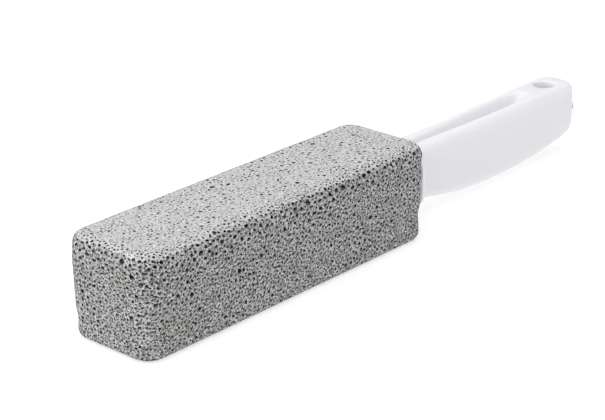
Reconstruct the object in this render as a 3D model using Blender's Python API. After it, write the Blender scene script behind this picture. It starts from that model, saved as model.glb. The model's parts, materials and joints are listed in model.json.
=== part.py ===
"""Pumice scouring stone: a grey cellular bar glued onto the tongue of a white plastic handle.

Units are metres and +Z is up. The bar lies on its foot, +X runs from its scouring end to the
handle's tip, and the origin is the middle of the underside of the whole object's bounding box.
"""

import math
import random

import bmesh
import bpy
from mathutils import Vector

MM = 0.001

# The stone is cast in a tray, so its walls lean in towards the foot.
STONE_LENGTH = 130 * MM
STONE_WIDTH = 36 * MM
STONE_HEIGHT = 34 * MM
UPRIGHT_RADIUS = 7.3 * MM
TOP_RADIUS = 4.5 * MM
FOOT_RADIUS = 3 * MM
SIDE_DRAFT = 0.7 * MM
END_DRAFT = 0.5 * MM
STONE_CELL = 4.1 * MM
CORNER_SCATTER = 0.3

# Pits are the larger bubbles of the foam, opened where the cast skin was cut away.
PIT_COUNT = 430
PIT_MOUTHS = (0.8 * MM, 1.45 * MM)
PIT_SHARE_OF_EDGE = 0.42
PIT_DEPTH_SHARE = 1.15
PIT_SEED = 11
# The middle of the foot is left whole, so that the stone can be set down or clamped on it.
FOOT_PAD = 5 * MM

# The handle butts against the stone's end. Its lines are (distance from the stone, value) in mm.
HANDLE_REACH = 102 * MM
HANDLE_ROUNDING = 2.6 * MM
HANDLE_STATION = 6 * MM
HALF_WIDTH_LINE = ((0, 7.5), (14, 7), (34, 6.7), (62, 7.1), (95, 7.4))
BACK_LINE = ((0, 26.4), (40, 26.6), (70, 27.1), (95, 27.2))
BELLY_LINE = ((0, 9.6), (12, 7.1), (24, 4.8), (36, 3.4), (48, 2.9), (60, 3.1), (74, 4.1), (86, 5.8))
HEEL_FROM = 84 * MM
HEEL_RISE = 5.8 * MM
SHOULDER_FROM = 93.5 * MM
SHOULDER_DROP = 1.8 * MM
TIP_TURN = math.radians(50)
TIP_SIDES = 12

# A thin flange round the handle's root seats against the stone's end.
FLANGE_THICKNESS = 1.5 * MM
FLANGE_WIDTH = 28.8 * MM
FLANGE_HEIGHT = 17.9 * MM
FLANGE_MIDDLE_Z = 18.05 * MM
FLANGE_CORNER = 4.6 * MM
FLANGE_CORNER_SIDES = 4

# A soft-edged trough runs down the back for the fingers, and the hole at the tip hangs it on a hook.
TROUGH_FROM = 3.5 * MM
TROUGH_TO = 78.5 * MM
TROUGH_START_RUN = 5 * MM
TROUGH_END_RUN = 9 * MM
TROUGH_HALF_WIDTH_LINE = ((4, 2.2), (22, 2.6), (40, 3.5), (58, 4.3), (77, 4.2))
TROUGH_DEPTH_SHARE = 1.2
TROUGH_RINGS = (1.12, 0.72, 0.45, 0.2)
TROUGH_LIFT = 1 * MM
TROUGH_END_SIDES = 6
HANG_HOLE_RADIUS = 3.8 * MM
HANG_HOLE_AT = 88.6 * MM
HANG_HOLE_SIDES = 24

# The handle's tongue is glued in a socket in the stone.
TONGUE_LENGTH = 24 * MM
TONGUE_WIDTH = 8 * MM
TONGUE_HEIGHT = 12 * MM
TONGUE_MIDDLE_Z = 17.5 * MM
TONGUE_EDGE = 1 * MM
TONGUE_OVERLAP = 2 * MM
GLUE_GAP = 0.3 * MM

TOTAL_LENGTH = STONE_LENGTH + GLUE_GAP + HANDLE_REACH
STONE_START_X = -TOTAL_LENGTH / 2
STONE_MIDDLE_X = STONE_START_X + STONE_LENGTH / 2
HANDLE_START_X = STONE_START_X + STONE_LENGTH + GLUE_GAP
CUT_MARGIN = 5 * MM
MERGE = 0.01 * MM

STONE_GREY = (0.42, 0.42, 0.43)
HANDLE_WHITE = (0.86, 0.86, 0.88)


def clear_scene():
    for obj in list(bpy.data.objects):
        bpy.data.objects.remove(obj)


def collection(name):
    made = bpy.data.collections.new(name)
    bpy.context.scene.collection.children.link(made)
    return made


def material(name, colour, roughness):
    made = bpy.data.materials.new(name)
    made.use_nodes = True
    shader = made.node_tree.nodes["Principled BSDF"]
    shader.inputs["Base Color"].default_value = (*colour, 1)
    shader.inputs["Roughness"].default_value = roughness
    shader.inputs["Metallic"].default_value = 0
    return made


def object_from(bm, name, group):
    mesh = bpy.data.meshes.new(name)
    bm.to_mesh(mesh)
    bm.free()
    obj = bpy.data.objects.new(name, mesh)
    group.objects.link(obj)
    return obj


def join_or_cut(obj, helper, operation):
    """Adds a Boolean with a helper, which is kept as a wire that isn't rendered."""
    helper.hide_render = True
    helper.display_type = "WIRE"
    modifier = obj.modifiers.new(helper.name, "BOOLEAN")
    modifier.object = helper
    modifier.operation = operation
    modifier.solver = "EXACT"


def smooth_line(stations, at):
    """The value in metres, at a distance in metres, of a smooth line through stations in mm."""
    last = len(stations) - 1
    along = min(max(at / MM, stations[0][0]), stations[last][0])
    i = min(max(k for k in range(last) if stations[k][0] <= along), last - 1)

    def slope(k):
        low, high = max(k - 1, 0), min(k + 1, last)
        return (stations[high][1] - stations[low][1]) / (stations[high][0] - stations[low][0])

    (from_x, start), (to_x, end) = stations[i], stations[i + 1]
    t = (along - from_x) / (to_x - from_x)
    rise = t * t * (3 - 2 * t)
    bend = (to_x - from_x) * (t * (1 - t) ** 2 * slope(i) - t * t * (1 - t) * slope(i + 1))
    return (start + (end - start) * rise + bend) * MM


def even_places(low, high, step):
    count = max(1, round((high - low) / step))
    return [low + (high - low) * k / count for k in range(count + 1)]


def slice_mesh(bm, axis, places):
    """Cuts a mesh across an axis at each place, so that it can bend there."""
    normal = Vector((0, 0, 0))
    normal[axis] = 1
    for place in places:
        everything = [*bm.verts, *bm.edges, *bm.faces]
        bmesh.ops.bisect_plane(bm, geom=everything, plane_co=normal * place, plane_no=normal, dist=MERGE)


def edge_cuts(length, start_radius, end_radius):
    """Where to cut an edge of the stone: once inside each rounding, at its end, then evenly."""
    share = math.tan(math.radians(22.5))
    even = even_places(start_radius, length - end_radius, STONE_CELL)
    return [start_radius * share, *even, length - end_radius * share]


def rounded_inset(inset, z):
    """Rounds the long edges: how far in from the wall, and how high, a point of the plain box goes."""
    for radius, drop, inward in ((TOP_RADIUS, STONE_HEIGHT - z, -1), (FOOT_RADIUS, z, 1)):
        across, down = max(radius - inset, 0), max(radius - drop, 0)
        if across > 0 and down > 0:
            pull = 1 - max(across, down) / math.hypot(across, down)
            return inset + across * pull, z + inward * down * pull
    return inset, z


def rounded(point):
    """Carries a point of the plain box to the bar, whose edges are round and whose walls lean in."""
    inner_x = STONE_LENGTH / 2 - UPRIGHT_RADIUS
    inner_y = STONE_WIDTH / 2 - UPRIGHT_RADIUS
    inner = Vector((min(max(point.x, -inner_x), inner_x), min(max(point.y, -inner_y), inner_y)))
    out = point.xy - inner
    reach = max(abs(out.x), abs(out.y))
    if reach == 0:
        return point.copy()
    inset, z = rounded_inset(UPRIGHT_RADIUS - reach, point.z)
    plan = inner + out.normalized() * (UPRIGHT_RADIUS - inset)
    lean = max(0, 1 - z / (STONE_HEIGHT - TOP_RADIUS))
    x_share = 1 - lean * END_DRAFT / (STONE_LENGTH / 2)
    y_share = 1 - lean * SIDE_DRAFT / (STONE_WIDTH / 2)
    return Vector((plan.x * x_share, plan.y * y_share, z))


def scatter_corners(bm, chance):
    """Shifts each corner in the flat of its own face, so that the pits stand at uneven distances."""
    middle = Vector((0, 0, STONE_HEIGHT / 2))
    halves = (STONE_LENGTH / 2, STONE_WIDTH / 2, STONE_HEIGHT / 2)
    for vert in bm.verts:
        centred = vert.co - middle
        for axis in range(3):
            if halves[axis] - abs(centred[axis]) > UPRIGHT_RADIUS + MERGE:
                vert.co[axis] += chance.uniform(-CORNER_SCATTER, CORNER_SCATTER) * STONE_CELL


def bar_mesh(chance):
    bm = bmesh.new()
    bmesh.ops.create_cube(bm, size=1)
    bmesh.ops.scale(bm, vec=(STONE_LENGTH, STONE_WIDTH, STONE_HEIGHT), verts=bm.verts)
    bmesh.ops.translate(bm, vec=(0, 0, STONE_HEIGHT / 2), verts=bm.verts)
    along = edge_cuts(STONE_LENGTH, UPRIGHT_RADIUS, UPRIGHT_RADIUS)
    across = edge_cuts(STONE_WIDTH, UPRIGHT_RADIUS, UPRIGHT_RADIUS)
    slice_mesh(bm, 0, [x - STONE_LENGTH / 2 for x in along])
    slice_mesh(bm, 1, [y - STONE_WIDTH / 2 for y in across])
    slice_mesh(bm, 2, edge_cuts(STONE_HEIGHT, FOOT_RADIUS, TOP_RADIUS))
    scatter_corners(bm, chance)
    bmesh.ops.triangulate(bm, faces=bm.faces, quad_method="SHORT_EDGE")
    for vert in bm.verts:
        vert.co = rounded(vert.co)
    bm.normal_update()
    return bm


def left_whole(point):
    """Whether a place on the bar has no pit: under the handle's root, or on the pad of the foot."""
    behind_root = point.x > STONE_LENGTH / 2 - UPRIGHT_RADIUS
    root = behind_root and abs(point.y) < HALF_WIDTH_LINE[0][1] * MM + STONE_CELL / 2
    pad = point.z < MERGE and abs(point.x) < FOOT_PAD and abs(point.y) < FOOT_PAD
    return root or pad


def open_pit(bm, corner, chance):
    """Turns one corner of the mesh into a cup, whose mouth has as many sides as the corner had edges."""
    shortest = min(edge.calc_length() for edge in corner.link_edges)
    mouth = min(chance.uniform(*PIT_MOUTHS), PIT_SHARE_OF_EDGE * shortest)
    made = bmesh.ops.bevel(bm, geom=[corner], offset=mouth, segments=1, affect="VERTICES")
    bmesh.ops.poke(bm, faces=made["faces"], offset=-PIT_DEPTH_SHARE * mouth)


def build_tongue(name, group, grow):
    """The blade that the handle pushes into the stone or, grown by the gap, the socket for it."""
    start = HANDLE_START_X - TONGUE_LENGTH - grow
    end = HANDLE_START_X + TONGUE_OVERLAP
    bm = bmesh.new()
    bmesh.ops.create_cube(bm, size=1)
    size = (end - start, TONGUE_WIDTH + 2 * grow, TONGUE_HEIGHT + 2 * grow)
    bmesh.ops.scale(bm, vec=size, verts=bm.verts)
    bmesh.ops.translate(bm, vec=((start + end) / 2, 0, TONGUE_MIDDLE_Z), verts=bm.verts)
    lead = [edge for edge in bm.edges if all(vert.co.x < start + MERGE for vert in edge.verts)]
    sides = [edge for edge in bm.edges if abs(edge.verts[0].co.x - edge.verts[1].co.x) > MERGE]
    bmesh.ops.bevel(bm, geom=[*lead, *sides], offset=TONGUE_EDGE, segments=1, affect="EDGES")
    return object_from(bm, name, group)


def build_stone(group, helpers):
    chance = random.Random(PIT_SEED)
    bm = bar_mesh(chance)
    corners = [vert for vert in bm.verts if not left_whole(vert.co)]
    for corner in chance.sample(corners, PIT_COUNT):
        open_pit(bm, corner, chance)
    bmesh.ops.translate(bm, vec=(STONE_MIDDLE_X, 0, 0), verts=bm.verts)
    stone = object_from(bm, "stone", group)
    stone.data.materials.append(material("cellular grey stone", STONE_GREY, 0.95))
    join_or_cut(stone, build_tongue("socket", helpers, GLUE_GAP), "DIFFERENCE")


def strip_outline(half_widths, start, end):
    """The plan of a strip along X that follows a line of half widths and has a round far end."""
    radius = half_widths[-1][1] * MM
    walk = even_places(start, end - radius, HANDLE_STATION)
    left = [(x, smooth_line(half_widths, x)) for x in walk]
    right = [(x, -y) for x, y in reversed(left)]
    turns = [math.pi * k / TIP_SIDES for k in range(TIP_SIDES + 1)]
    tip = [(end - radius + radius * math.sin(turn), radius * math.cos(turn)) for turn in turns]
    return [*left[:-1], *tip, *right[1:]]


def slab(name, outline, rounding, group):
    """A flat outline extruded both ways from z = 0 with round rims, as a mesh whose caps can bend."""
    curve = bpy.data.curves.new(name, "CURVE")
    curve.dimensions = "2D"
    curve.fill_mode = "BOTH"
    curve.extrude = STONE_HEIGHT
    curve.bevel_depth = rounding
    curve.bevel_resolution = 1
    curve.offset = -rounding
    spline = curve.splines.new("POLY")
    spline.points.add(len(outline) - 1)
    spline.use_cyclic_u = True
    for place, (x, y) in zip(spline.points, outline):
        place.co = (x, y, 0, 1)
    drawn = bpy.data.objects.new(name, curve)
    group.objects.link(drawn)
    graph = bpy.context.evaluated_depsgraph_get()
    bm = bmesh.new()
    bm.from_mesh(bpy.data.meshes.new_from_object(drawn.evaluated_get(graph)))
    bpy.data.objects.remove(drawn)
    bmesh.ops.remove_doubles(bm, verts=bm.verts, dist=MERGE)
    bmesh.ops.recalc_face_normals(bm, faces=bm.faces)
    rib_caps(bm)
    return bm


def rib_caps(bm):
    """Makes each flat cap one face, then joins its mirrored corners by ribs that it can bend at."""
    caps = [face for face in bm.faces if abs(face.normal.z) > 0.99]
    for cap in bmesh.ops.dissolve_faces(bm, faces=caps)["region"]:
        corners = {(round(vert.co.x, 5), round(vert.co.y, 5)): vert for vert in cap.verts}
        for (x, y), vert in corners.items():
            twin = corners.get((x, -y))
            if y > 0 and twin and not bm.edges.get((vert, twin)):
                bmesh.ops.connect_verts(bm, verts=[vert, twin])


def bend_slab(bm, top_line, bottom_line):
    """Carries a slab's upper and lower rims onto two lines, each a function of x."""
    top = max(vert.co.z for vert in bm.verts)
    for vert in bm.verts:
        if vert.co.z > 0:
            vert.co.z += top_line(vert.co.x) - top
        else:
            vert.co.z += bottom_line(vert.co.x) + top


def cut_square(bm, x):
    """Cuts off all that lies below x and closes the cut with one face."""
    everything = [*bm.verts, *bm.edges, *bm.faces]
    cut = bmesh.ops.bisect_plane(
        bm, geom=everything, plane_co=(x, 0, 0), plane_no=(1, 0, 0), dist=MERGE, clear_inner=True
    )
    rim = [item for item in cut["geom_cut"] if isinstance(item, bmesh.types.BMEdge)]
    bmesh.ops.edgeloop_fill(bm, edges=rim)


def tip_curve(x, start):
    """Grows from 0 at start to 1 at the handle's tip, as an arc that turns away from its line."""
    share = min(max((x - start) / (HANDLE_REACH - start), 0), 1)
    return (1 - math.cos(share * TIP_TURN)) / (1 - math.cos(TIP_TURN))


def back_height(x):
    return smooth_line(BACK_LINE, x) - SHOULDER_DROP * tip_curve(x, SHOULDER_FROM)


def belly_height(x):
    return smooth_line(BELLY_LINE, x) + HEEL_RISE * tip_curve(x, HEEL_FROM)


def trough_ring(bm, share):
    """A ring of the trough's cutter: share 1 is the trough's rim in the back, share 0 its lowest line."""
    start, end = TROUGH_FROM + TROUGH_START_RUN, TROUGH_TO - TROUGH_END_RUN
    left = [(x, smooth_line(TROUGH_HALF_WIDTH_LINE, x)) for x in even_places(start, end, HANDLE_STATION)]
    right = [(x, -y) for x, y in reversed(left)]
    turns = [math.pi * k / TROUGH_END_SIDES for k in range(1, TROUGH_END_SIDES)]
    far = [(end + TROUGH_END_RUN * share * math.sin(turn), left[-1][1] * math.cos(turn)) for turn in turns]
    near = [(start - TROUGH_START_RUN * share * math.sin(turn), -left[0][1] * math.cos(turn)) for turn in turns]
    ring = []
    for x, y in [*left, *far, *right, *near]:
        depth = TROUGH_DEPTH_SHARE * smooth_line(TROUGH_HALF_WIDTH_LINE, min(max(x, start), end))
        depth *= (1 + math.cos(math.pi * share)) / 2
        z = back_height(x) + (TROUGH_LIFT if share > 1 else -depth)
        ring.append(bm.verts.new((HANDLE_START_X + x, y * share, z)))
    return ring


def build_trough(helpers):
    bm = bmesh.new()
    lid = trough_ring(bm, TROUGH_RINGS[0])
    for vert in lid:
        vert.co.z = STONE_HEIGHT
    rings = [lid, *(trough_ring(bm, share) for share in TROUGH_RINGS)]
    for upper, lower in zip(rings, rings[1:]):
        for k in range(len(upper)):
            bm.faces.new((upper[k - 1], upper[k], lower[k], lower[k - 1]))
    bm.faces.new(lid)
    bottom = rings[-1]
    half = len(bottom) // 2
    start = len(bottom) - TROUGH_END_SIDES // 2
    left = [bottom[(start + k) % len(bottom)] for k in range(half + 1)]
    right = [bottom[start - k] for k in range(half + 1)]
    for k in range(half):
        corners = dict.fromkeys((left[k], left[k + 1], right[k + 1], right[k]))
        bm.faces.new(list(corners))
    bmesh.ops.recalc_face_normals(bm, faces=bm.faces)
    return object_from(bm, "trough", helpers)


def build_hang_hole(helpers):
    bm = bmesh.new()
    bmesh.ops.create_cone(
        bm,
        cap_ends=True,
        segments=HANG_HOLE_SIDES,
        radius1=HANG_HOLE_RADIUS,
        radius2=HANG_HOLE_RADIUS,
        depth=STONE_HEIGHT + 2 * CUT_MARGIN,
    )
    place = (HANDLE_START_X + HANG_HOLE_AT, 0, STONE_HEIGHT / 2)
    bmesh.ops.translate(bm, vec=place, verts=bm.verts)
    return object_from(bm, "hang hole", helpers)


def build_flange(helpers):
    bm = bmesh.new()
    bmesh.ops.create_cube(bm, size=1)
    bmesh.ops.scale(bm, vec=(FLANGE_THICKNESS, FLANGE_WIDTH, FLANGE_HEIGHT), verts=bm.verts)
    bmesh.ops.translate(bm, vec=(HANDLE_START_X + FLANGE_THICKNESS / 2, 0, FLANGE_MIDDLE_Z), verts=bm.verts)
    corners = [edge for edge in bm.edges if abs(edge.verts[0].co.x - edge.verts[1].co.x) > MERGE]
    bmesh.ops.bevel(
        bm, geom=corners, offset=FLANGE_CORNER, segments=FLANGE_CORNER_SIDES, profile=0.5, affect="EDGES"
    )
    return object_from(bm, "flange", helpers)


def build_handle(group, helpers):
    outline = strip_outline(HALF_WIDTH_LINE, -CUT_MARGIN, HANDLE_REACH)
    bm = slab("handle", outline, HANDLE_ROUNDING, helpers)
    bend_slab(bm, back_height, belly_height)
    cut_square(bm, 0)
    bmesh.ops.translate(bm, vec=(HANDLE_START_X, 0, 0), verts=bm.verts)
    handle = object_from(bm, "handle", group)
    handle.data.materials.append(material("white plastic", HANDLE_WHITE, 0.35))
    join_or_cut(handle, build_flange(helpers), "UNION")
    join_or_cut(handle, build_tongue("tongue", helpers, 0), "UNION")
    join_or_cut(handle, build_trough(helpers), "DIFFERENCE")
    join_or_cut(handle, build_hang_hole(helpers), "DIFFERENCE")
    handle.data.shade_smooth()
    handle.data.set_sharp_from_angle(angle=math.radians(30))


def main():
    clear_scene()
    group = collection("pumice scouring stone")
    helpers = collection("cutters")
    build_stone(group, helpers)
    build_handle(group, helpers)


main()
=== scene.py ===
# %% [markdown]
# # A pumice scouring stone
# The object is a bar of grey stone foam with a white plastic handle glued into one end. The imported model
# gives the two pieces at their real size. This lesson builds the surfaces that the eye sees: a skin with
# thousands of open pores, and a clean injection moulding.

# %% Load the model
import json
import math
import random
from itertools import product

import bpy
import numpy as np
from mathutils import Matrix, Vector, noise
from mathutils.geometry import delaunay_2d_cdt

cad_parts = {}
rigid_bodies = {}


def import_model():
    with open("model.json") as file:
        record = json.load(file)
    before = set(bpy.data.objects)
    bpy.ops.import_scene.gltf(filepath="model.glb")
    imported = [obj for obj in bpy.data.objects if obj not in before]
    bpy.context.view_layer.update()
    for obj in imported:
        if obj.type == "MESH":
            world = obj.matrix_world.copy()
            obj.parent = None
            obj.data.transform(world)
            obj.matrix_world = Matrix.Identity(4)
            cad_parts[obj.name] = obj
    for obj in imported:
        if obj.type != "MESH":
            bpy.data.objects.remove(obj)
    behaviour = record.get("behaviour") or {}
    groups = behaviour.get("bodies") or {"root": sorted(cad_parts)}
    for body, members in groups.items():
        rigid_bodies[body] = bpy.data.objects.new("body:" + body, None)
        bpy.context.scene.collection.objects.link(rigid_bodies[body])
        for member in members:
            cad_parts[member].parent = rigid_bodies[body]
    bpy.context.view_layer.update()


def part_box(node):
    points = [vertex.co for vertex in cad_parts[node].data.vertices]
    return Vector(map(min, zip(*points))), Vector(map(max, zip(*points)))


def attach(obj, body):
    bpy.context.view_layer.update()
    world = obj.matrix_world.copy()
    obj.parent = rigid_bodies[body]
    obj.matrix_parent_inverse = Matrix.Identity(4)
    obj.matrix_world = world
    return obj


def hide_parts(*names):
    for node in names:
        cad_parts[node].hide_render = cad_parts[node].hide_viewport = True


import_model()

MM = 0.001
stone_low, stone_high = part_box("stone")

# %% [markdown]
# ## Shader maths as Python
# Blender's shader maths is a web of nodes. A class that wraps one socket lets us write that web as ordinary
# Python: `rough * 0.5 + 0.2` adds the two Math nodes for us. Anything else goes through `Recipe.node`, which
# sets a node's options first and its sockets second.

# %% Shader expressions
# Where a Mix node keeps its two colours, and the colour that it gives back.
FIRST_COLOUR, SECOND_COLOUR, MIXED_COLOUR = 6, 7, 2


class Value:
    """One output socket, with the arithmetic that adds Math nodes."""

    def __init__(self, recipe, socket):
        self.recipe = recipe
        self.socket = socket

    def math(self, operation, *others):
        sockets = dict(enumerate([self, *others]))
        return self.recipe.node("ShaderNodeMath", {"operation": operation}, sockets)

    def __add__(self, other):
        return self.math("ADD", other)

    __radd__ = __add__

    def __mul__(self, other):
        return self.math("MULTIPLY", other)

    __rmul__ = __mul__

    def __sub__(self, other):
        return self.math("SUBTRACT", other)

    def __rsub__(self, other):
        return (self * -1) + other

    def between(self, low, high):
        """0 below low, 1 above high, and smooth between."""
        settings = {"interpolation_type": "SMOOTHSTEP", "clamp": True}
        return self.recipe.node("ShaderNodeMapRange", settings, {0: self, 1: low, 2: high, 3: 0.0, 4: 1.0})


class Recipe:
    """A material being written: its nodes, and the Principled shader at the end of them."""

    def __init__(self, name):
        self.material = bpy.data.materials.new(name)
        self.material.use_nodes = True
        self.tree = self.material.node_tree
        self.shader = self.tree.nodes["Principled BSDF"]

    def node(self, kind, settings=None, sockets=None, output=0):
        made = self.tree.nodes.new(kind)
        for name, value in (settings or {}).items():
            setattr(made, name, value)
        for name, value in (sockets or {}).items():
            self.feed(made.inputs[name], value)
        return Value(self, made.outputs[output])

    def feed(self, socket, value):
        if isinstance(value, Value):
            self.tree.links.new(value.socket, socket)
        else:
            socket.default_value = value

    def mix(self, factor, first, second):
        """One colour mixed into another; a colour is a tuple of three or a Value."""
        first, second = [(*c, 1) if isinstance(c, tuple) else c for c in (first, second)]
        sockets = {0: factor, FIRST_COLOUR: first, SECOND_COLOUR: second}
        return self.node("ShaderNodeMix", {"data_type": "RGBA"}, sockets, MIXED_COLOUR)

    def set(self, **sockets):
        for name, value in sockets.items():
            title = name.replace("_", " ").title()
            value = (*value, 1) if isinstance(value, tuple) and len(value) == 3 else value
            self.feed(self.shader.inputs[title], value)


# %% [markdown]
# ## From numbers to a piece
# A mesh made from lists of points and faces can be wrong in ways that the eye misses, so each piece is
# measured as it is made. In a closed mesh every edge has two faces, which run along it in opposite
# directions, and the volume comes out positive where the faces point outwards.

# %% Make a piece
MILLILITRE = 1e-6


def open_edges(faces):
    """How many edges lack a second face that runs the other way."""
    sides = {(face[k - 1], face[k]) for face in faces for k in range(len(face))}
    return sum((b, a) not in sides for a, b in sides)


def volume(points, faces):
    """What a closed mesh holds; negative if its faces point inwards."""
    total = 0.0
    for face in faces:
        for k in range(1, len(face) - 1):
            a, b, c = points[face[0]], points[face[k]], points[face[k + 1]]
            total += float(np.dot(a, np.cross(b, c)))
    return total / 6


def piece_from(name, points, faces, recipe, slot):
    """A mesh piece that rides on the object's one body and stands for the model's node of that slot."""
    mesh = bpy.data.meshes.new(name)
    mesh.from_pydata([tuple(p) for p in points], [], faces)
    mesh.validate()
    mesh.materials.append(recipe.material)
    piece = bpy.data.objects.new(name, mesh)
    bpy.context.scene.collection.objects.link(piece)
    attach(piece, "root")
    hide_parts(slot)
    triangles = sum(len(face) - 2 for face in faces)
    millilitres = volume(points, faces) / MILLILITRE
    print(f"{name}: {triangles} triangles, {open_edges(faces)} open edges, {millilitres:.1f} ml")
    return piece


# %% [markdown]
# ## The camera
# The photo looks down at the bar from its near end with a long lens, so that parallel edges stay nearly
# parallel. An aim point, two angles, a distance and a focal length say where the camera is, which is easier
# to read and change than a matrix of numbers.

# %% Place the camera
AIM = Vector((-34.97, -4.87, 21.48)) * MM
AZIMUTH = math.radians(-48.10)
ELEVATION = math.radians(22.33)
ROLL = math.radians(-0.295)
DISTANCE = 624.9 * MM
SENSOR_WIDTH = 36.0
FOCAL_LENGTH = 117.36
CLIP_START = 10 * MM

towards_camera = Vector((
    math.sin(AZIMUTH) * math.cos(ELEVATION),
    -math.cos(AZIMUTH) * math.cos(ELEVATION),
    math.sin(ELEVATION),
))
camera = bpy.data.objects.new("camera", bpy.data.cameras.new("camera"))
camera.data.lens = FOCAL_LENGTH
camera.data.sensor_width = SENSOR_WIDTH
camera.data.clip_start = CLIP_START
turn = towards_camera.to_track_quat("Z", "Y").to_matrix() @ Matrix.Rotation(ROLL, 3, "Z")
camera.matrix_world = Matrix.Translation(AIM + towards_camera * DISTANCE) @ turn.to_4x4()
bpy.context.scene.collection.objects.link(camera)
bpy.context.scene.camera = camera
print("camera at", [round(v, 4) for v in camera.location])

# %% [markdown]
# ## The studio
# The photo is a product shot on pure white. A pale floor, a bright even world and one large soft light above
# give that: the top is lit most, and the sides get what the room and the floor throw back. The Standard
# view transform keeps white paper white, where a film-like one would turn it grey.

# %% Light the floor
WHITE = (1, 1, 1)
FLOOR_SIZE = 6.0
FLOOR_GREY = (0.5, 0.5, 0.5)
FLOOR_ROUGHNESS = 0.9
FLOOR_GLOW = 0.6
WORLD_STRENGTH = 0.62
TOP_LIGHT_WATTS = 20.0
TOP_LIGHT_SIZE = 2.0
TOP_LIGHT_PLACE = Vector((-0.60, 0.05, 1.1))

floor_recipe = Recipe("pale floor")
floor_recipe.set(base_color=FLOOR_GREY, roughness=FLOOR_ROUGHNESS)
floor_recipe.set(emission_color=WHITE, emission_strength=FLOOR_GLOW)
bpy.ops.mesh.primitive_plane_add(size=FLOOR_SIZE, location=(0, 0, 0))
floor = bpy.context.object
floor.name = "floor"
floor.data.materials.append(floor_recipe.material)

world = bpy.data.worlds.new("white room")
bpy.context.scene.world = world
world.use_nodes = True
world.node_tree.nodes["Background"].inputs["Color"].default_value = (*WHITE, 1)
world.node_tree.nodes["Background"].inputs["Strength"].default_value = WORLD_STRENGTH

top_light = bpy.data.objects.new("top light", bpy.data.lights.new("top light", "AREA"))
top_light.data.energy = TOP_LIGHT_WATTS
top_light.data.size = TOP_LIGHT_SIZE
top_light.location = TOP_LIGHT_PLACE
top_light.rotation_euler = (AIM - TOP_LIGHT_PLACE).to_track_quat("-Z", "Y").to_euler()
bpy.context.scene.collection.objects.link(top_light)
bpy.context.scene.view_settings.view_transform = "Standard"
print("floor, world and", top_light.name)

# %% [markdown]
# ## The bar's skin as a map
# The bar is a box with round edges whose walls lean in towards the foot. Boolean cuts would carve a few
# hundred pores in it, but not thousands, so we treat its skin as flat sheets that can be cut like paper: one
# band that runs round the walls and over both long roundings, and a flat cap above and below. A place on the
# band is `s`, the way along the outline, and `t`, the way up the band.

# %% Measure the bar
LENGTH = stone_high.x - stone_low.x
WIDTH = stone_high.y - stone_low.y
HEIGHT = stone_high.z
MIDDLE_X = (stone_low.x + stone_high.x) / 2
UPRIGHT_RADIUS = 7.3 * MM
TOP_RADIUS = 4.5 * MM
FOOT_RADIUS = 3 * MM
SIDE_DRAFT = 0.7 * MM
END_DRAFT = 0.5 * MM

LONG_RUN = LENGTH - 2 * UPRIGHT_RADIUS
SHORT_RUN = WIDTH - 2 * UPRIGHT_RADIUS
CORNER_RUN = UPRIGHT_RADIUS * math.pi / 2
OUTLINE = 2 * LONG_RUN + 2 * SHORT_RUN + 4 * CORNER_RUN
FOOT_RUN = FOOT_RADIUS * math.pi / 2
WALL_RUN = HEIGHT - TOP_RADIUS - FOOT_RADIUS
BAND = FOOT_RUN + WALL_RUN + TOP_RADIUS * math.pi / 2


def outline_at(s):
    """A point of the core inside the outline, the way out from it, and whether the outline turns there."""
    s = s % OUTLINE
    half_long, half_short = LONG_RUN / 2, SHORT_RUN / 2
    legs = (
        (half_short, (half_long, 0), (0, 1), (half_long, half_short)),
        (LONG_RUN, (half_long, half_short), (-1, 0), (-half_long, half_short)),
        (SHORT_RUN, (-half_long, half_short), (0, -1), (-half_long, -half_short)),
        (LONG_RUN, (-half_long, -half_short), (1, 0), (half_long, -half_short)),
    )
    for run, start, way, corner in legs:
        outward = (way[1], -way[0])
        if s <= run:
            return (start[0] + way[0] * s, start[1] + way[1] * s), outward, False
        s -= run
        if s <= CORNER_RUN:
            turn = math.atan2(outward[1], outward[0]) + s / UPRIGHT_RADIUS
            return corner, (math.cos(turn), math.sin(turn)), True
        s -= CORNER_RUN
    return (half_long, s - half_short), (1, 0), False


def rise_at(t):
    """How far in from the wall, and how high, the band is at t."""
    if t < FOOT_RUN:
        turn = t / FOOT_RADIUS
        return FOOT_RADIUS * (1 - math.sin(turn)), FOOT_RADIUS * (1 - math.cos(turn))
    if t < FOOT_RUN + WALL_RUN:
        return 0.0, FOOT_RADIUS + t - FOOT_RUN
    turn = (t - FOOT_RUN - WALL_RUN) / TOP_RADIUS
    return TOP_RADIUS * (1 - math.cos(turn)), HEIGHT - TOP_RADIUS * (1 - math.sin(turn))


print(f"outline {OUTLINE / MM:.1f} mm, band {BAND / MM:.1f} mm")

# %% [markdown]
# The map's places then become points in space. Three things happen on the way: the outline is drawn in on
# the roundings, the walls lean in towards the foot, and a smooth noise sets them in a little in patches,
# because so soft a stone soon loses its flat sides.

# %% From the map to the bar
WEAR = 1.0 * MM
WEAR_PATCH = 6 * MM


def leaned(x, y, z):
    """Moves a point of the upright bar to the leaning one, and to its place in the model."""
    lean = max(0.0, 1 - z / (HEIGHT - TOP_RADIUS))
    x *= 1 - lean * END_DRAFT / (LENGTH / 2)
    y *= 1 - lean * SIDE_DRAFT / (WIDTH / 2)
    return np.array((x + MIDDLE_X, y, z))


def plan_at(s, inset):
    """Where the outline is at s, seen from above, once it is drawn in by the inset."""
    core, outward, _ = outline_at(s)
    reach = UPRIGHT_RADIUS - inset
    return core[0] + outward[0] * reach, core[1] + outward[1] * reach


def band_point(s, t):
    """A place on the band in space, set in a little in the patches where the surface has worn away."""
    t = min(max(t, 0), BAND)
    inset, z = rise_at(t)
    worn = max(0, noise.noise(Vector((*plan_at(s, inset), z)) / WEAR_PATCH)) * math.sin(math.pi * t / BAND)
    x, y = plan_at(s, inset + WEAR * worn)
    return leaned(x, y, z)


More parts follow.
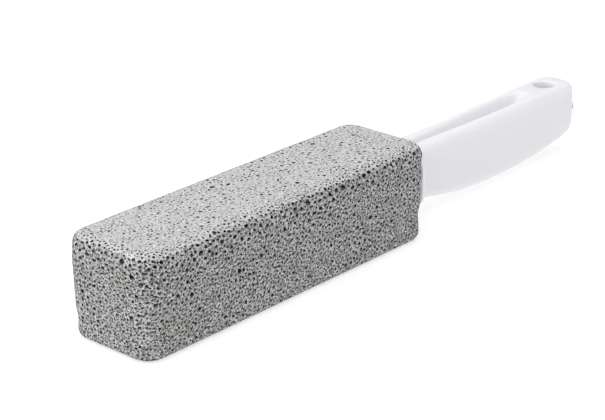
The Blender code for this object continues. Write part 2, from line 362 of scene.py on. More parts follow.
def squeeze_at(s, t):
    """How much shorter a step along the outline gets where a corner's rounding turns inwards."""
    turning = outline_at(s)[2]
    inset = rise_at(min(max(t, 0), BAND))[0]
    return (UPRIGHT_RADIUS - inset) / UPRIGHT_RADIUS if turning else 1.0


print("a corner of the bar:", band_point(SHORT_RUN / 2 + CORNER_RUN / 2, BAND))

# %% [markdown]
# ## Throwing the pores
# Gas bubbles grow in the melt until they touch, so the pores never overlap, and a few are much larger than
# the rest. We draw sizes from a long-tailed spread, throw the largest first, and throw a pore again if it
# would touch one that is there. A grid of cells keeps that search short: only the pores in the cells round
# a place can touch a pore there.

# %% Sizes and free places
PORE_SEED = 5
SMALLEST, LARGEST = 0.26 * MM, 1.25 * MM
WALL_BETWEEN = 0.05 * MM
CELL = 2.4 * MM

chance = random.Random(PORE_SEED)
cells = {}


def draw_size(middle, spread, largest=LARGEST):
    return min(max(middle * math.exp(chance.gauss(0, spread)), SMALLEST), largest)


def draw_sizes(count, middle, spread):
    return sorted((draw_size(middle, spread) for _ in range(count)), reverse=True)


def cell_of(place):
    return tuple(int(math.floor(v / CELL)) for v in place)


def is_free(place, radius):
    i, j, k = cell_of(place)
    for a, b, c in product((-1, 0, 1), repeat=3):
        for other, other_radius in cells.get((i + a, j + b, k + c), ()):
            if math.dist(place, other) < radius + other_radius + WALL_BETWEEN:
                return False
    return True


def take(place, radius):
    cells.setdefault(cell_of(place), []).append((tuple(place), radius))


print("pores from", SMALLEST / MM, "to", LARGEST / MM, "mm in radius")

# %% [markdown]
# The lines where the band meets a cap come first. A line that no pore crossed would show as a smooth seam
# round the bar, so a row of pores is threaded on it with uneven gaps, and each will belong to both sheets.

# %% Throw pores on the lines
TOP_LINE = {"middle": 0.42 * MM, "spread": 0.3, "share": 0.35}
FOOT_LINE = {"middle": 0.5 * MM, "spread": 0.35, "share": 0.8}
LINE_MARGIN = 2 * MM
LINE_GAP, GAP_LEAST, GAP_SWING = 0.5 * MM, 0.4, 1.4


def throw_on_line(t, middle, spread, share):
    """Pores whose middles lie on the line between the band and a cap, as (s, radius along s, radius)."""
    thrown = []
    s = LINE_MARGIN
    while s < OUTLINE - LINE_MARGIN:
        radius = draw_size(middle, spread, LARGEST / 2)
        along = radius / squeeze_at(s, t)
        place = band_point(s + along, t)
        straight = outline_at(s)[2] == outline_at(s + 2 * along)[2]
        if chance.random() < share and straight and is_free(place, radius):
            take(place, radius)
            thrown.append((s + along, along, radius))
        s += 2 * along + LINE_GAP * (GAP_LEAST + GAP_SWING * chance.random())
    return thrown


top_line_pores = throw_on_line(BAND, **TOP_LINE)
foot_line_pores = throw_on_line(0, **FOOT_LINE)
print(len(top_line_pores), "pores on the top line and", len(foot_line_pores), "on the foot line")

# %% [markdown]
# Most pores are on the band. The foam is coarser in some patches than in others, and coarsest at the top
# edge, where it breaks off. Higher on the rounding the pores are smaller and fewer, as they are on the top.

# %% Throw pores on the band
TRIES = 90
BAND_PORES = {"count": 9800, "middle": 0.49 * MM, "spread": 0.26}
COARSE_SWING = 0.32
COARSE_PATCH = 16 * MM
EDGE_MIDDLE = FOOT_RUN + WALL_RUN
EDGE_REACH = 6 * MM
EDGE_SWELL = 0.3
WORN_FROM = FOOT_RUN + WALL_RUN + 3.4 * MM
WORN_SHARE = 0.5
WORN_SIZE = 0.85
SEAM_CLEARANCE = 0.1 * MM


def coarseness(place, t):
    """How much larger than usual the pores are at a place on the band."""
    edge = max(0, 1 - abs(t - EDGE_MIDDLE) / EDGE_REACH)
    return (1 + COARSE_SWING * noise.noise(Vector(place) / COARSE_PATCH)) * (1 + EDGE_SWELL * edge)


def throw_on_band(sizes):
    thrown = []
    for size in sizes:
        for _ in range(TRIES):
            s = chance.uniform(2 * LARGEST, OUTLINE - 2 * LARGEST)
            t = chance.uniform(0, BAND)
            place = band_point(s, t)
            worn = t > WORN_FROM
            radius = min(size * coarseness(place, t) * (WORN_SIZE if worn else 1), LARGEST)
            if not radius < t - SEAM_CLEARANCE < BAND - radius - 2 * SEAM_CLEARANCE:
                continue
            if worn and chance.random() > WORN_SHARE:
                break
            if is_free(place, radius):
                take(place, radius)
                thrown.append((s, t, radius))
                break
    return thrown


band_pores = throw_on_band(draw_sizes(**BAND_PORES))
print(len(band_pores), "pores on the band, out of", BAND_PORES["count"], "sizes")

# %% [markdown]
# The caps are flat, so a place on one is simply x and y. What is left to check is that a pore keeps clear of
# the cap's own round-cornered outline.

# %% Throw pores on the caps
TOP_PORES = {"count": 1250, "middle": 0.39 * MM, "spread": 0.34}
FOOT_PORES = {"count": 1200, "middle": 0.44 * MM, "spread": 0.34}


def inside_cap(x, y, inset):
    """How far a point lies inside the cap's outline."""
    core_x, core_y = LONG_RUN / 2, SHORT_RUN / 2
    out = math.hypot(max(abs(x) - core_x, 0), max(abs(y) - core_y, 0))
    if abs(x) <= core_x or abs(y) <= core_y:
        return min(core_x + UPRIGHT_RADIUS - abs(x), core_y + UPRIGHT_RADIUS - abs(y)) - inset
    return UPRIGHT_RADIUS - inset - out


def throw_on_cap(sizes, inset, z):
    thrown = []
    for radius in sizes:
        for _ in range(TRIES):
            x = chance.uniform(-1, 1) * (LENGTH / 2 - inset)
            y = chance.uniform(-1, 1) * (WIDTH / 2 - inset)
            if inside_cap(x, y, inset) < radius + SEAM_CLEARANCE:
                continue
            place = leaned(x, y, z)
            if is_free(place, radius):
                take(place, radius)
                thrown.append((x, y, radius))
                break
    return thrown


top_pores = throw_on_cap(draw_sizes(**TOP_PORES), TOP_RADIUS, HEIGHT)
foot_pores = throw_on_cap(draw_sizes(**FOOT_PORES), FOOT_RADIUS, 0)
print(len(top_pores), "pores on the top and", len(foot_pores), "on the foot")

# %% [markdown]
# ## Rings and cups
# A pore is an uneven ring of five to eight points in the skin, closed by a cup behind it: a point at the
# bottom and, in the larger pores, a second ring that gives the cup its shoulder. Every point also notes how
# deep it lies, and each pore its own tone. The stone's material reads both to paint shade into the pore.

# %% Points, rings and cups
RING_SIDES = ((0.36, 5), (0.6, 6), (math.inf, 8))
RING_WOBBLE = 0.3
RING_STRETCH = 0.5
LEVEL_SWAY = 0.5
CRUMBLE = 0.07 * MM
CUP_DEPTH = 1.35
CUP_DEPTHS = (0.7, 1.25)
BOTTOM_SWAY = 0.25
SHOULDER_FROM = 0.55 * MM
SHOULDER_WIDTH, SHOULDER_SINK = 0.84, 0.55
SHOULDER_SINKS = (0.8, 1.2)
SHOULDER_DEPTH = 0.6
TONES = (0.84, 1.0)

points = []
depths = []
tones = {}
faces = []


def add_point(place, depth=0.0):
    points.append(np.array(place))
    depths.append(depth)
    return len(points) - 1


def ring_offsets(radius):
    """An uneven ring of a few points, drawn out more or less along the bar; larger pores have more."""
    sides = next(sides for limit, sides in RING_SIDES if radius < limit * MM)
    spin, grain = chance.random() * math.tau, chance.gauss(0, LEVEL_SWAY)
    pinch = 1 - RING_STRETCH * chance.random()
    offsets = []
    for k in range(sides):
        turn = k * math.tau / sides
        reach = radius * (1 - RING_WOBBLE * chance.random())
        u, v = reach * math.cos(turn + spin), reach * math.sin(turn + spin) * pinch
        across = u * math.cos(grain) - v * math.sin(grain)
        offsets.append((across, u * math.sin(grain) + v * math.cos(grain)))
    return offsets


def add_cup(ring, inward, radius):
    """Closes a ring, in order round the outward side, with a bottom and, where it is large, a shoulder."""
    middle = np.mean([points[k] for k in ring], axis=0)
    depth = radius * CUP_DEPTH * chance.uniform(*CUP_DEPTHS)
    sway = [chance.uniform(-BOTTOM_SWAY, BOTTOM_SWAY) * radius for _ in range(3)]
    bottom = add_point(middle + inward * depth + np.array(sway), 1.0)
    tone = chance.uniform(*TONES)
    tones.update({k: tone for k in [*ring, bottom]})
    if radius > SHOULDER_FROM:
        inner = []
        for k in ring:
            sunk = inward * depth * SHOULDER_SINK * chance.uniform(*SHOULDER_SINKS)
            inner.append(add_point(middle + (points[k] - middle) * SHOULDER_WIDTH + sunk, SHOULDER_DEPTH))
        tones.update({k: tone for k in inner})
        for k in range(len(ring)):
            after = (k + 1) % len(ring)
            faces.append((ring[k], ring[after], inner[after]))
            faces.append((ring[k], inner[after], inner[k]))
        ring = inner
    for k in range(len(ring)):
        faces.append((ring[k], ring[(k + 1) % len(ring)], bottom))


print("cups go", CUP_DEPTH, "of their radius deep")

# %% [markdown]
# ## Triangles round the holes
# The skin between the pores is flat on the map, so its triangles can be found there. A constrained Delaunay
# triangulation makes them as even as it can and keeps each ring as edges. It fills the holes too, so every
# triangle whose corners all belong to one hole, and whose middle lies inside it, is left out.

# %% Fill round holes
TRIANGLES_INSIDE = 1
FILL_SNAP = 1e-7


def surrounds(ring, place):
    """Whether a ring of flat points goes round a place."""
    crossings = 0
    for a, b in zip(ring, [*ring[1:], ring[0]]):
        if (a.y > place.y) != (b.y > place.y):
            crossings += place.x < a.x + (b.x - a.x) * (place.y - a.y) / (b.y - a.y)
    return crossings % 2 == 1


def fill_plan(places, rings, holes):
    """Triangles over flat places that keep every ring as edges and leave the holes' rings open."""
    edges = [(ring[k], ring[(k + 1) % len(ring)]) for ring in rings for k in range(len(ring))]
    flat = [Vector(p) for p in places]
    kept, _, found, origins, _, _ = delaunay_2d_cdt(flat, edges, [], TRIANGLES_INSIDE, FILL_SNAP)
    if len(kept) != len(places):
        print("the fill changed the points:", len(places), "to", len(kept))
    holes_at = {}
    for number, ring in enumerate(holes):
        for k in ring:
            holes_at.setdefault(k, set()).add(number)
    triangles = []
    for face in found:
        corners = [origins[k][0] for k in face]
        shared = set.intersection(*[holes_at.get(k, set()) for k in corners])
        middle = sum((flat[k] for k in corners), Vector((0, 0))) / 3
        if not any(surrounds([flat[k] for k in holes[number]], middle) for number in shared):
            triangles.append(corners)
    return triangles


print("a square fills with", fill_plan([(0, 0), (1, 0), (1, 1), (0, 1)], [[0, 1, 2, 3]], []))

# %% [markdown]
# A sheet collects flat places with the numbers that their points have in the mesh. It remembers which rings
# are holes, and its triangles join the faces of the stone.

# %% A sheet
class Sheet:
    def __init__(self):
        self.flat = []
        self.ids = []
        self.rings = []
        self.holes = []

    def add(self, place, number):
        self.flat.append(place)
        self.ids.append(number)
        return len(self.flat) - 1

    def close(self, ring, hole=False):
        self.rings.append(ring)
        if hole:
            self.holes.append(ring)

    def fill(self, flip=False):
        found = fill_plan(self.flat, self.rings, self.holes)
        for face in found:
            corners = [self.ids[k] for k in face]
            faces.append(tuple(reversed(corners)) if flip else tuple(corners))
        return len(found)


# %% [markdown]
# ## The lines between the sheets
# Sheets share the points on the lines where they meet, so that the bar becomes one closed mesh. A line is
# walked once: a point every millimetre or so, and two points where a pore sits across it. Between those two,
# each sheet gets one half of that pore's ring.

# %% Walk the lines
LINE_STEP = 0.9 * MM
SEAM_STEPS = 34
HALF_RING_TURNS = [math.pi * k / 4 for k in (1, 2, 3)]
HALF_RING_REACHES = (0.85, 1.0)


def walk_line(t, line_pores):
    """The line between the band and a cap: its (s, point) pairs in order, and where each pore starts."""
    line = []
    ends = []
    at = 0.0
    for middle, along, radius in [*line_pores, (OUTLINE, 0, 0)]:
        low = middle - along
        count = max(1, round((low - at) / LINE_STEP))
        for k in range(count):
            s = at + (low - at) * k / count
            line.append((s, add_point(band_point(s, t))))
        if radius:
            line.append((low, add_point(band_point(low, t))))
            ends.append(len(line) - 1)
        at = middle + along
    return line, ends


def half_ring(middle, along, radius):
    """Points of a line pore's half: how far along the line, and how far from it."""
    half = []
    for turn in HALF_RING_TURNS:
        away = radius * math.sin(turn) * chance.uniform(*HALF_RING_REACHES)
        half.append((middle + along * math.cos(turn), away))
    return half


foot_line, foot_ends = walk_line(0.0, foot_line_pores)
top_line, top_ends = walk_line(BAND, top_line_pores)
seam = []
for k in range(1, SEAM_STEPS):
    seam.append((BAND * k / SEAM_STEPS, add_point(band_point(0.0, BAND * k / SEAM_STEPS))))
print(len(foot_line), "points on the foot line and", len(top_line), "on the top line")

# %% [markdown]
# ## The band
# The band's two ends meet in a seam on the end that the handle is glued to, and they share its points too.
# A ring's points sink a little at random, which gives each pore the crumbly lip of broken foam.

# %% Lay out the band
NORMAL_STEP = 0.05 * MM


def band_inward(s, t):
    """The direction into the bar at a place on the band."""
    along = band_point(s + NORMAL_STEP, t) - band_point(s - NORMAL_STEP, t)
    up = band_point(s, min(t + NORMAL_STEP, BAND)) - band_point(s, max(t - NORMAL_STEP, 0))
    outward = np.cross(along, up)
    return -outward / np.linalg.norm(outward)


def crumbled(place, inward):
    return place + inward * CRUMBLE * chance.random() ** 2


def outer_row(sheet, line, level):
    """One long edge of the band, with its first point again at the far end, where the band closes."""
    row = [sheet.add((s, level), number) for s, number in line]
    return [*row, sheet.add((OUTLINE, level), line[0][1])]


def cut_line_pores(sheet, pores, ends, row, level, side):
    """Holes for the band's halves of the pores on one line; the side is which way the band lies from it."""
    halves = []
    for (middle, along, radius), end in zip(pores, ends):
        half = []
        for s, away in half_ring(middle, along, radius):
            t = level + side * away
            number = add_point(crumbled(band_point(s, t), band_inward(s, t)))
            half.append(sheet.add((s, t), number))
        sheet.close([row[end + 1], *half, row[end]], hole=True)
        halves.append([sheet.ids[k] for k in half])
    return halves


def build_band():
    """The band's sheet, with the band's halves of the foot line's pores and of the top line's."""
    sheet = Sheet()
    foot_row = outer_row(sheet, foot_line, 0.0)
    top_row = outer_row(sheet, top_line, BAND)
    left = [sheet.add((0.0, t), number) for t, number in seam]
    right = [sheet.add((OUTLINE, t), number) for t, number in seam]
    sheet.close([*foot_row, *right, *reversed(top_row), *reversed(left)])
    foot_halves = cut_line_pores(sheet, foot_line_pores, foot_ends, foot_row, 0.0, 1)
    top_halves = cut_line_pores(sheet, top_line_pores, top_ends, top_row, BAND, -1)
    for s, t, radius in band_pores:
        ring = []
        squeeze = squeeze_at(s, t)
        for u, v in ring_offsets(radius):
            place = (s + u / squeeze, t + v)
            number = add_point(crumbled(band_point(*place), band_inward(*place)))
            ring.append(sheet.add(place, number))
        sheet.close(ring, hole=True)
        add_cup([sheet.ids[k] for k in ring], band_inward(s, t), radius)
    return sheet, foot_halves, top_halves


band, foot_band_halves, top_band_halves = build_band()
print("the band has", len(band.flat), "places and", len(band.holes), "holes")

# %% [markdown]
# ## The caps
# A cap is laid out in the same way, with its outline taken from the line that it shares with the band. Seen
# from outside, the foot's places run the other way round, so its rings and triangles are turned over.

# %% Lay out the caps and fill the skin
DOWN = np.array((0.0, 0.0, -1.0))


def build_cap(line, ends, line_pores, cap_pores, inset, z, inward):
    """A cap's sheet, with the cap's halves of the pores on its line."""
    sheet = Sheet()
    row = [sheet.add(plan_at(s, inset), number) for s, number in line]
    sheet.close(row)
    halves = []
    for (middle, along, radius), end in zip(line_pores, ends):
        half = []
        for s, away in half_ring(middle, along, radius):
            place = plan_at(s, inset + away)
            number = add_point(crumbled(leaned(*place, z), inward))
            half.append(sheet.add(place, number))
        sheet.close([row[(end + 1) % len(row)], *half, row[end]], hole=True)
        halves.append([sheet.ids[k] for k in half])
    for x, y, radius in cap_pores:
        ring = []
        for u, v in ring_offsets(radius):
            number = add_point(crumbled(leaned(x + u, y + v, z), inward))
            ring.append(sheet.add((x + u, y + v), number))
        sheet.close(ring, hole=True)
        ids = [sheet.ids[k] for k in ring]
        add_cup(ids if inward[2] < 0 else ids[::-1], inward, radius)
    return sheet, halves


top, top_cap_halves = build_cap(top_line, top_ends, top_line_pores, top_pores, TOP_RADIUS, HEIGHT, DOWN)
foot, foot_cap_halves = build_cap(foot_line, foot_ends, foot_line_pores, foot_pores, FOOT_RADIUS, 0.0, -DOWN)
print("skin triangles:", band.fill(), top.fill(), foot.fill(flip=True))

# %% [markdown]
# A pore that lies on a line between sheets has one half on each. Its ring is the line's two points with both
# halves between them, and it is closed by a cup like any other.

# %% Close the pores on the lines
def close_line_pores(level, line, ends, pores, band_halves, cap_halves):
    for (middle, _, radius), end, band_half, cap_half in zip(pores, ends, band_halves, cap_halves):
        first, last = line[end][1], line[(end + 1) % len(line)][1]
        ring = [last, *band_half, first, *reversed(cap_half)]
        add_cup(ring if level == 0 else ring[::-1], band_inward(middle, level), radius)


close_line_pores(0.0, foot_line, foot_ends, foot_line_pores, foot_band_halves, foot_cap_halves)
close_line_pores(BAND, top_line, top_ends, top_line_pores, top_band_halves, top_cap_halves)
print("closed", len(foot_ends) + len(top_ends), "line pores;", len(faces), "faces in all")

# %% [markdown]
# ## The stone's finish
# Up close the skin between pores is itself a finer foam. A noise and a cell pattern give those last, tiniest
# bubbles as colour and bump, where an image would blur up close; their dark colour is painted shade. Broad
# patches of the stone are tinged with olive, and what faces up is paler, partly pale dust, partly painted
# top light.

# %% Patterns of the stone
GRAIN_PER_METRE, GRAIN_DETAIL = 1700.0, 3.0
PATCH_PER_METRE, PATCH_DETAIL = 45.0, 4.0
PITS_PER_METRE = 1150.0
# Which skin faces up and is made paler: partly pale dust, partly painted top light.
DUST_AND_LIGHT_GRAIN = 0.3
DUST_AND_LIGHT_SLOPES = (0.74, 0.9)
PIT_WALLS = (0.22, 0.46)

stone_recipe = Recipe("cellular grey stone")
place = stone_recipe.node("ShaderNodeTexCoord", output=3)


def pattern(kind, scale, settings=None, **sockets):
    return stone_recipe.node(kind, settings, {"Vector": place, "Scale": scale, **sockets})


# Each point's depth and its pore's tone, which set how much shade is painted inside the pore.
depth = stone_recipe.node("ShaderNodeAttribute", {"attribute_name": "pore_depth"}, output=2)
tone = stone_recipe.node("ShaderNodeAttribute", {"attribute_name": "pore_tone"}, output=2)
cellular = {"voronoi_dimensions": "3D", "feature": "F1"}
specks = pattern("ShaderNodeTexVoronoi", PITS_PER_METRE, cellular)
grain = pattern("ShaderNodeTexNoise", GRAIN_PER_METRE, Detail=GRAIN_DETAIL)
patches = pattern("ShaderNodeTexNoise", PATCH_PER_METRE, Detail=PATCH_DETAIL)
facing = stone_recipe.node("ShaderNodeNewGeometry", output=1)
upward = stone_recipe.node("ShaderNodeSeparateXYZ", None, {"Vector": facing}, output=2)
# Up-facing skin made paler: partly pale dust, partly painted top light.
dust_and_painted_light = (upward + grain * DUST_AND_LIGHT_GRAIN).between(*DUST_AND_LIGHT_SLOPES)
fine_pits = 1 - specks.between(*PIT_WALLS)
print("patterns for", stone_recipe.material.name)

# %% [markdown]
# The colours are then laid one over another. The depth that each point carries paints shade inside a pore,
# where little light comes back, and less of it on what faces up, where dust and painted top light lie.

# %% Colours of the stone
SKIN_GREY = (0.19, 0.187, 0.188)
SKIN_LIGHT = (0.58, 0.574, 0.576)
LIGHT_GRAIN = (0.35, 0.68)
OLIVE = (0.28, 0.275, 0.24)
OLIVE_PATCHES, OLIVE_SHARE = (0.55, 0.75), 0.35
# Paler greys laid on what faces up: partly dust, partly painted top light.
PALE_DUST_AND_PAINTED_LIGHT, DUST_AND_LIGHT_SPREAD = (0.475, 0.475, 0.485), (0.2, 0.5)
CHALK_AND_PAINTED_LIGHT, CHALK_AND_LIGHT_SPREAD = (0.64, 0.64, 0.65), (0.48, 0.64)
# Near-black painted shade for the tiny pits, weakened on what faces up.
PIT_PAINTED_SHADE, PIT_SHARE, PIT_DUST_AND_LIGHT = (0.04, 0.04, 0.04), 0.92, 0.67
# Near-black painted shade inside the pores, weakened on what faces up.
PORE_PAINTED_SHADE, PORE_LIP, PORE_DUST_AND_LIGHT = (0.012, 0.012, 0.012), (0.0, 0.1), 0.38
STONE_ROUGHNESS = 0.95
STONE_SPECULAR = 0.2
GRAIN_RELIEF, PIT_RELIEF = 0.5, 0.8
BUMP_STRENGTH, BUMP_DISTANCE = 0.6, 0.12 * MM

skin = stone_recipe.mix(grain.between(*LIGHT_GRAIN), SKIN_GREY, SKIN_LIGHT)
skin = stone_recipe.mix(patches.between(*OLIVE_PATCHES) * OLIVE_SHARE, skin, OLIVE)
skin = stone_recipe.mix(dust_and_painted_light * grain.between(*DUST_AND_LIGHT_SPREAD), skin, PALE_DUST_AND_PAINTED_LIGHT)
skin = stone_recipe.mix(dust_and_painted_light * grain.between(*CHALK_AND_LIGHT_SPREAD), skin, CHALK_AND_PAINTED_LIGHT)
# Painted shade in the tiny pits, weaker on what faces up, where dust and painted top light lie.
skin = stone_recipe.mix(fine_pits * (PIT_SHARE - dust_and_painted_light * PIT_DUST_AND_LIGHT), skin, PIT_PAINTED_SHADE)
# Painted shade inside each pore, by depth and tone, weaker on what faces up.
colour = stone_recipe.mix(depth.between(*PORE_LIP) * tone * (1 - dust_and_painted_light * PORE_DUST_AND_LIGHT), skin, PORE_PAINTED_SHADE)
relief = grain * GRAIN_RELIEF - fine_pits * PIT_RELIEF
shape = {"Strength": BUMP_STRENGTH, "Distance": BUMP_DISTANCE, "Height": relief}
bump = stone_recipe.node("ShaderNodeBump", None, shape)
stone_recipe.set(base_color=colour, roughness=STONE_ROUGHNESS, normal=bump)
stone_recipe.shader.inputs["Specular IOR Level"].default_value = STONE_SPECULAR
print(len(stone_recipe.tree.nodes), "nodes in", stone_recipe.material.name)

# %% [markdown]
# With its faces and its finish ready, the stone becomes a piece. Smooth shading hides the facets of the
# cups, and an angle keeps the lips of the pores sharp.

# %% Make the stone
STONE_SHARP = math.radians(42)

stone = piece_from("porous_stone", points, faces, stone_recipe, "stone")
point_tones = [tones.get(k, 1.0) for k in range(len(points))]
# The depth and tone of each point, which the stone's material turns into painted shade inside the pores.
for name, values in (("pore_depth", depths), ("pore_tone", point_tones)):
    attribute = stone.data.attributes.new(name, "FLOAT", "POINT")
    attribute.data.foreach_set("value", np.array(values, np.float32))
stone.data.shade_smooth()
stone.data.set_sharp_from_angle(angle=STONE_SHARP)

# %% [markdown]
# ## The handle's lines
# A moulded handle is easiest to give by a few smooth lines: half its width, its back and its belly, each
# through a handful of measured places. The model was drawn from the same lines, so the visual fits it.

# %% Draw the lines
GLUE_GAP = 0.3 * MM
ROOT_X = stone_high.x + GLUE_GAP
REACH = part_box("handle")[1].x - ROOT_X
HALF_WIDTH_LINE = ((0, 7.5), (14, 7), (34, 6.7), (62, 7.1), (95, 7.4))
BACK_LINE = ((0, 26.4), (40, 26.6), (70, 27.1), (95, 27.2))
BELLY_LINE = ((0, 9.6), (12, 7.1), (24, 4.8), (36, 3.4), (48, 2.9), (60, 3.1), (74, 4.1), (86, 5.8))


def line_at(stations, at):
    """The value, at a distance along the handle, of a smooth line through stations in mm."""
    last = len(stations) - 1
    along = min(max(at / MM, stations[0][0]), stations[last][0])
    i = min(max(k for k in range(last) if stations[k][0] <= along), last - 1)

    def slope(k):
        low, high = max(k - 1, 0), min(k + 1, last)
        return (stations[high][1] - stations[low][1]) / (stations[high][0] - stations[low][0])

    (from_x, start), (to_x, end) = stations[i], stations[i + 1]
    t = (along - from_x) / (to_x - from_x)
    bend = (to_x - from_x) * (t * (1 - t) ** 2 * slope(i) - t * t * (1 - t) * slope(i + 1))
    return (start + (end - start) * t * t * (3 - 2 * t) + bend) * MM


print(f"the handle is {REACH / MM:.1f} mm long")

# %% [markdown]
# Towards the tip the lines turn: the back drops a little, the belly rises in a heel, and the top of the tip
# leans back. The first two follow a piece of a cosine, which starts out level and so leaves no kink.

# %% Turn the tip
HEEL_FROM, HEEL_RISE = 84 * MM, 5.8 * MM
BACK_TURNS_FROM, BACK_DROP = 96 * MM, 1.1 * MM
TIP_TURN = math.radians(50)
TIP_RADIUS = HALF_WIDTH_LINE[-1][1] * MM
CROWN_FROM, CROWN = 93 * MM, 1.4 * MM


def tip_curve(x, start):
    share = min(max((x - start) / (REACH - start), 0), 1)
    return (1 - math.cos(share * TIP_TURN)) / (1 - math.cos(TIP_TURN))


def back_at(x):
    return line_at(BACK_LINE, x) - BACK_DROP * tip_curve(x, BACK_TURNS_FROM)


def belly_at(x):
    return line_at(BELLY_LINE, x) + HEEL_RISE * tip_curve(x, HEEL_FROM)


def crowned(x, y, z):
    """Leans the top of the tip back a little, and puts a point of the handle in its place in the model."""
    middle = (back_at(x) + belly_at(x)) / 2
    off = max(z - middle, 0) / (back_at(CROWN_FROM) - middle)
    share = min(max((x - CROWN_FROM) / (REACH - CROWN_FROM), 0), 1)
    return np.array((ROOT_X + x - CROWN * share * min(off * off, 1), y, z))


print("the tip is", [round(v(REACH) / MM, 1) for v in (belly_at, back_at)], "mm up")

# %% [markdown]
# ## Rings make walls
# Everything on this handle with a wall, from its outside to the trough and the hang hole, is a stack of
# rings with the same number of points, joined by four-sided faces. Where the outside and the hole meet the
# back and the belly, their rings follow a quarter circle, the small rounding that moulded plastic has.

# %% Stack rings
shell = []
shell_faces = []


def put(place):
    shell.append(np.array(place))
    return len(shell) - 1


def join_rings(low, high, closed=True):
    """Four-sided faces between two rings; clockwise from above and upwards, they face out of the ring."""
    for k in range(len(low) - (0 if closed else 1)):
        after = (k + 1) % len(low)
        shell_faces.append((low[k], high[k], high[after], low[after]))


def quarter(radius, steps):
    """(reach, rise) along a quarter circle that starts along the wall and turns on to the cap."""
    turns = [math.pi / 2 * k / steps for k in range(steps + 1)]
    return [(radius * (1 - math.cos(turn)), radius * (1 - math.sin(turn))) for turn in turns]


def evenly(low, high, count):
    return [low + (high - low) * k / count for k in range(count + 1)]


print("a quarter circle in 2 steps:", quarter(1, 2))

# %% [markdown]
# The outside is a wall that starts at one side of the root, goes round the tip and comes back. Its rings are
# open at the root, and one flat face there, turned to the stone, closes them all.

# %% The outside
STATION = 2 * MM
TIP_SIDES = 32
RIM = 2.6 * MM
RIM_STEPS = 7
WALL_STEPS = 4


def outside_plan(inset):
    end = REACH - TIP_RADIUS
    left = [(x, line_at(HALF_WIDTH_LINE, x) - inset) for x in evenly(0, end, round(end / STATION))]
    turns = [math.pi * k / TIP_SIDES for k in range(1, TIP_SIDES)]
    reach = TIP_RADIUS - inset
    tip = [(REACH - TIP_RADIUS + reach * math.sin(turn), reach * math.cos(turn)) for turn in turns]
    return [*left, *tip, *[(x, -y) for x, y in reversed(left)]]


def outside_ring(inset, share, lift):
    """A ring of the outside, drawn in, at a share of the way from belly to back and lifted from there."""
    ring = []
    for x, y in outside_plan(inset):
        z = belly_at(x) * (1 - share) + back_at(x) * share + lift
        ring.append(put(crowned(x, y, z)))
    return ring


rim = quarter(RIM, RIM_STEPS)
outside = [outside_ring(reach, 0, rise) for reach, rise in reversed(rim)]
for share in evenly(0, 1, WALL_STEPS)[1:-1]:
    outside.append(outside_ring(0, share, RIM * (1 - 2 * share)))
outside += [outside_ring(reach, 1, -rise) for reach, rise in rim]
for low, high in zip(outside, outside[1:]):
    join_rings(low, high, closed=False)
shell_faces.append(tuple([ring[-1] for ring in outside] + [ring[0] for ring in reversed(outside)]))
print(len(outside), "rings outside, of", len(outside[0]), "points each")

# %% [markdown]
# The trough along the back saves plastic and gives the fingers a hold. Its rings shrink towards a line along
# its bottom, down the slope of a cosine, so that its walls have no crease. The hang hole goes right through,
# with a small rounding at both mouths.

# %% The trough and the hang hole
TROUGH_FROM, TROUGH_TO = 3.5 * MM, 78.5 * MM
TROUGH_START, TROUGH_END = 5 * MM, 9 * MM
TROUGH_LINE = ((4, 2.2), (22, 2.6), (40, 3.5), (58, 4.3), (77, 4.2))
TROUGH_DEPTH = 1.2
TROUGH_RINGS = 16
TROUGH_STATIONS = 32
TROUGH_END_SIDES = 24
HOLE_X, HOLE_RADIUS, HOLE_MOUTH = 88.6 * MM, 3.8 * MM, 0.6 * MM
HOLE_SIDES = 48
MOUTH_STEPS = 4


def trough_ring(share):
    """A ring of the trough: share 1 is its mouth in the back, and share 0 its bottom line."""
    start, end = TROUGH_FROM + TROUGH_START, TROUGH_TO - TROUGH_END
    left = [(x, line_at(TROUGH_LINE, x)) for x in evenly(start, end, TROUGH_STATIONS)]
    turns = [math.pi * k / TROUGH_END_SIDES for k in range(1, TROUGH_END_SIDES)]
    far = [(end + TROUGH_END * share * math.sin(a), left[-1][1] * math.cos(a)) for a in turns]
    near = [(start - TROUGH_START * share * math.sin(a), -left[0][1] * math.cos(a)) for a in turns]
    sunk = (1 + math.cos(math.pi * share)) / 2
    ring = []
    for x, y in [*left, *far, *[(x, -y) for x, y in reversed(left)], *near]:
        depth = TROUGH_DEPTH * line_at(TROUGH_LINE, min(max(x, start), end)) * sunk
        ring.append(put(crowned(x, y * share, back_at(x) - depth)))
    return ring


def hole_ring(grow, level_at, lift):
    """A ring of the hole, widened, and lifted from the back or the belly."""
    turns = [math.tau * k / HOLE_SIDES for k in range(HOLE_SIDES)]
    reach = HOLE_RADIUS + grow
    plan = [(HOLE_X + reach * math.sin(turn), reach * math.cos(turn)) for turn in turns]
    return [put(crowned(x, y, level_at(x) + lift)) for x, y in plan]


trough = [trough_ring(share) for share in evenly(1, 0, TROUGH_RINGS)[:-1]]
mouth = quarter(HOLE_MOUTH, MOUTH_STEPS)
hole = [hole_ring(reach, back_at, -rise) for reach, rise in reversed(mouth)]
hole += [hole_ring(reach, belly_at, rise) for reach, rise in mouth]
for stack in (trough, hole):
    for upper, lower in zip(stack, stack[1:]):
        join_rings(upper, lower)
print(len(trough), "rings in the trough and", len(hole), "in the hole")

# %% [markdown]
# ## The back and the belly
# They are what is left between the rings, so the same fill that closed the stone's skin closes them. The
# belly curves along its length, so it gets a few points of its own to bend at.

# %% Fill the back and the belly
BELLY_GRID = 2 * MM
BELLY_ROWS = (-0.6, -0.2, 0.2, 0.6)
HOLE_MARGIN = 1.5 * MM


